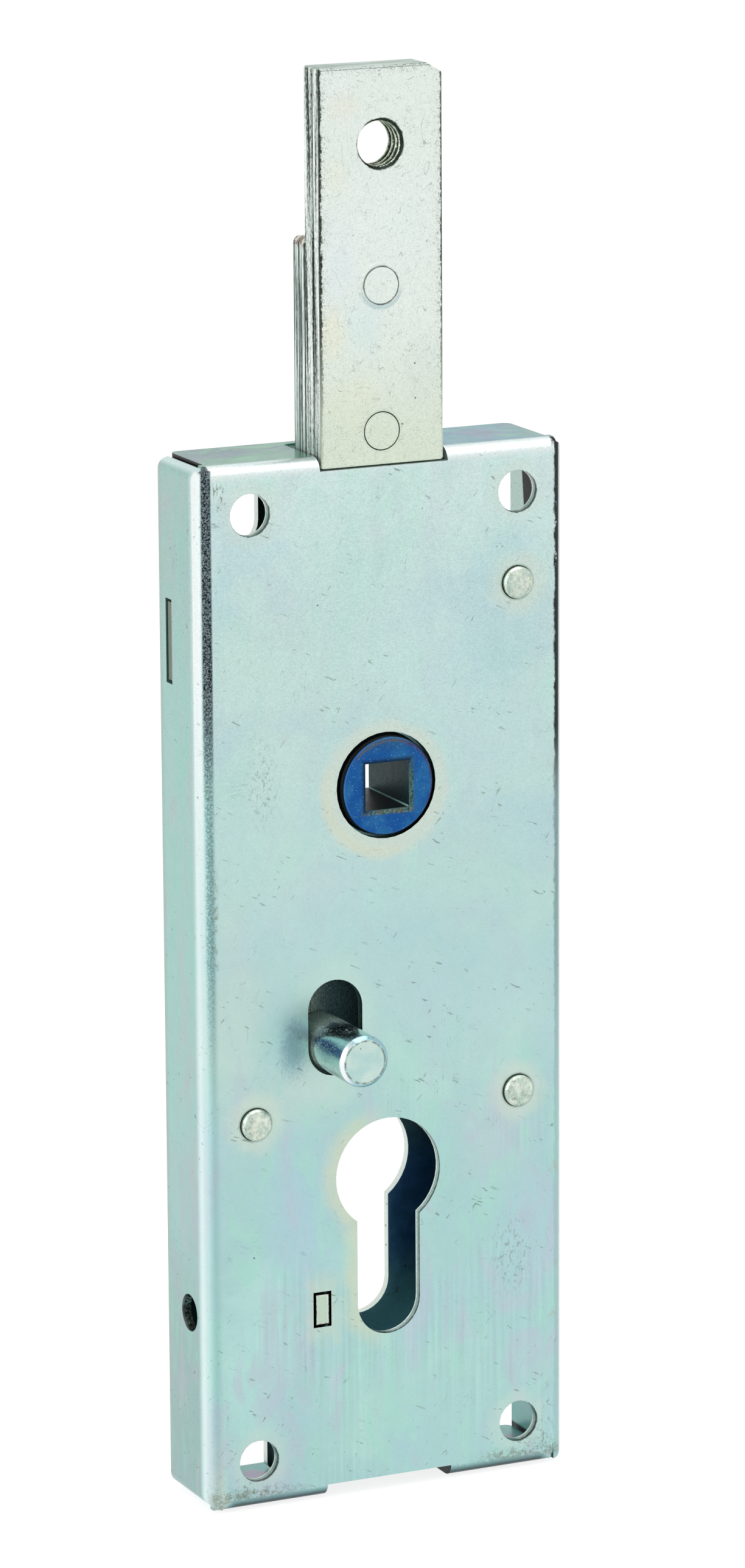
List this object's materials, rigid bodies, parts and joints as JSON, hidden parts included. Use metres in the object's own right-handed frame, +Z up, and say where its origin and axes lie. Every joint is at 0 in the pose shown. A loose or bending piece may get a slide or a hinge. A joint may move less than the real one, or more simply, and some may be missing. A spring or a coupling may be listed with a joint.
{
  "type": "garage door lock",
  "caption": "Flat steel garage door lock with a spring-loaded sliding strip bolt, a square-hole hub, a lifting pin and a profile cylinder cut-out.",
  "frame": {"origin": "centre of the bounding box's footprint, at the bottom of the case", "axes": "+X to the right seen from the front, -Y out of the front face, +Z up along the bolt"},
  "size_m": [0.06, 0.0262, 0.2191],
  "materials": {
    "zinc_plate": "satin, pale blue-green zinc plating with faint iridescence",
    "strip_zinc": "satin, whitish zinc plating with a fine grain",
    "bright_steel": "bright turned steel",
    "blued_steel": "heat-blued, satin",
    "spring_steel": "drawn wire"
  },
  "bodies": {
    "case": {"case_shell": "zinc_plate", "back_plate": "zinc_plate", "pillar_upper_right": "zinc_plate", "pillar_lower_right": "zinc_plate", "pillar_lower_left": "zinc_plate", "hub_washer": "zinc_plate", "cylinder_screw_bracket": "zinc_plate", "spring_guide_rod": "bright_steel", "bolt_spring": "spring_steel"},
    "bolt": {"bolt_front_plate": "strip_zinc", "bolt_threaded_plate": "strip_zinc", "carriage_front_plate": "strip_zinc", "carriage_rear_plate": "strip_zinc", "bolt_rivet_lower": "strip_zinc", "bolt_rivet_upper": "strip_zinc", "carriage_rivet_lower": "bright_steel", "carriage_rivet_upper": "bright_steel", "glide_collar_lower": "bright_steel", "glide_collar_upper": "bright_steel", "operating_pin": "bright_steel"},
    "hub": {"hub": "blued_steel"}
  },
  "joints": [
    {"name": "bolt_slide", "type": "slide", "parent": "case", "child": "bolt", "axis": [0, 0, 1], "range_m": [0, 0.0054], "stiffness_N_per_m": 600, "springref_m": -0.008, "deforming": ["bolt_spring"]},
    {"name": "hub_turn", "type": "hinge", "parent": "case", "child": "hub", "pos_m": [0, -0.00245, 0.1109], "axis": [0, -1, 0], "range_deg": [0, 30.2]}
  ],
  "couplings": [
    {"joint": "hub_turn", "follows": "bolt_slide", "rad_per_m": 96.963}
  ]
}
